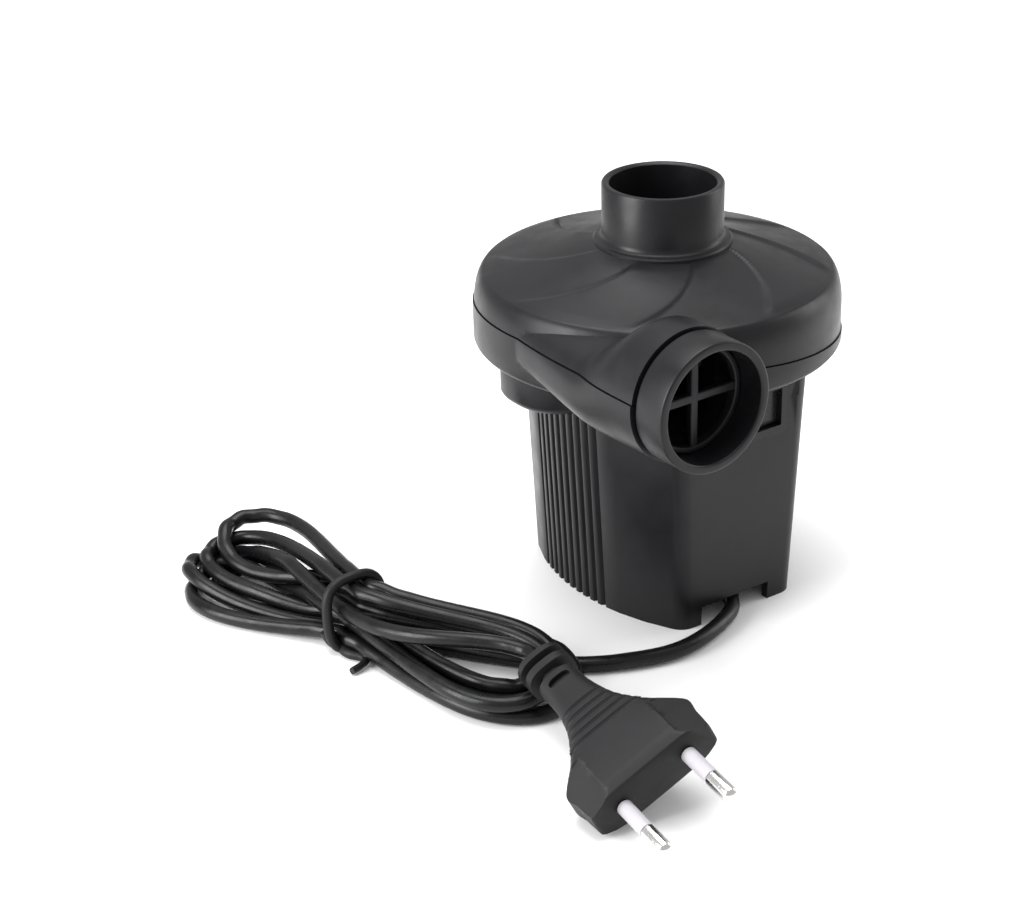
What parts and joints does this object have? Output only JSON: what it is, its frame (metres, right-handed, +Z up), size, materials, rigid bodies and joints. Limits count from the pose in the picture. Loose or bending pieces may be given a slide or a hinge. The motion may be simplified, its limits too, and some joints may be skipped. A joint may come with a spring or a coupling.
{
  "type": "electric air mattress pump",
  "caption": "Mains air pump for air beds: round volute with an upright inlet neck and a side outlet ring on a fluted motor casing, with a cord folded in a hank and a flat two-pin plug.",
  "frame": {"origin": "middle of the foot of the pump's own box, without cord, tie and plug", "axes": "+Z up along the motor axis and the inlet neck, -Y out of the outlet ring, towards the switch and the cord"},
  "size_m": [0.1674, 0.1959, 0.113],
  "materials": {
    "shell": "satin moulded plastic",
    "guard": "moulded plastic",
    "switch": "semi-gloss moulded plastic",
    "impeller_plastic": "natural moulded plastic",
    "screw_steel": "plated",
    "lamination": "stacked sheet",
    "bracket_plate": "pressed sheet",
    "copper": "enamelled copper",
    "bush_bronze": "sintered",
    "terminal_brass": "stamped",
    "carbon": "pressed carbon",
    "capacitor_case": "moulded case",
    "cord_sheath": "semi-gloss flexible sheath",
    "sleeve_rubber": "matte",
    "tie": "coated wire",
    "plug_rubber": "matte moulded",
    "pin_metal": "plated",
    "pin_insulation": "moulded"
  },
  "bodies": {
    "pump_body": {"bottom_cover": "shell", "brush_holder_1": "guard", "brush_holder_2": "guard", "brush_spring_1": "screw_steel", "brush_spring_2": "screw_steel", "carbon_brush_1": "carbon", "carbon_brush_2": "carbon", "clamp_screw_1": "screw_steel", "clamp_screw_2": "screw_steel", "cord_clamp": "guard", "cord_hank": "cord_sheath", "cord_lead": "cord_sheath", "cover_screw_1": "screw_steel", "cover_screw_2": "screw_steel", "cover_screw_3": "screw_steel", "cover_screw_4": "screw_steel", "field_coil_1": "copper", "field_coil_2": "copper", "floor_screw_1": "screw_steel", "floor_screw_2": "screw_steel", "floor_screw_3": "screw_steel", "floor_screw_4": "screw_steel", "inlet_grille": "guard", "lower_bearing": "bush_bronze", "lower_bracket": "bracket_plate", "motor_bolt_1": "screw_steel", "motor_bolt_2": "screw_steel", "motor_housing": "shell", "noise_capacitor": "capacitor_case", "outlet_grille": "shell", "outlet_ring": "shell", "pin_sleeve_1": "pin_insulation", "pin_sleeve_2": "pin_insulation", "plug_body": "plug_rubber", "plug_pin_1": "pin_metal", "plug_pin_2": "pin_metal", "stator_core": "lamination", "strain_relief": "sleeve_rubber", "switch_bezel": "switch", "switch_terminal_1": "terminal_brass", "switch_terminal_2": "terminal_brass", "twist_tie": "tie", "upper_bearing": "bush_bronze", "upper_bracket": "bracket_plate", "upper_cover": "shell", "volute_base": "shell"},
    "rotor": {"motor_shaft": "screw_steel", "armature_core": "lamination", "armature_winding_upper": "copper", "armature_winding_lower": "copper", "commutator": "copper", "cooling_fan": "guard", "impeller": "impeller_plastic", "impeller_washer": "screw_steel", "impeller_nut": "screw_steel"},
    "rocker": {"switch_rocker": "switch"}
  },
  "joints": [
    {"name": "rotor_spin", "type": "hinge", "parent": "pump_body", "child": "rotor", "pos_m": [0.00265, 0.00745, 0.05], "axis": [0, 0, 1], "continuous": true},
    {"name": "switch_rock", "type": "hinge", "parent": "pump_body", "child": "rocker", "pos_m": [0.00465, -0.02481, 0.0586], "axis": [0, 0, 1], "range_deg": [-22, 0]}
  ]
}
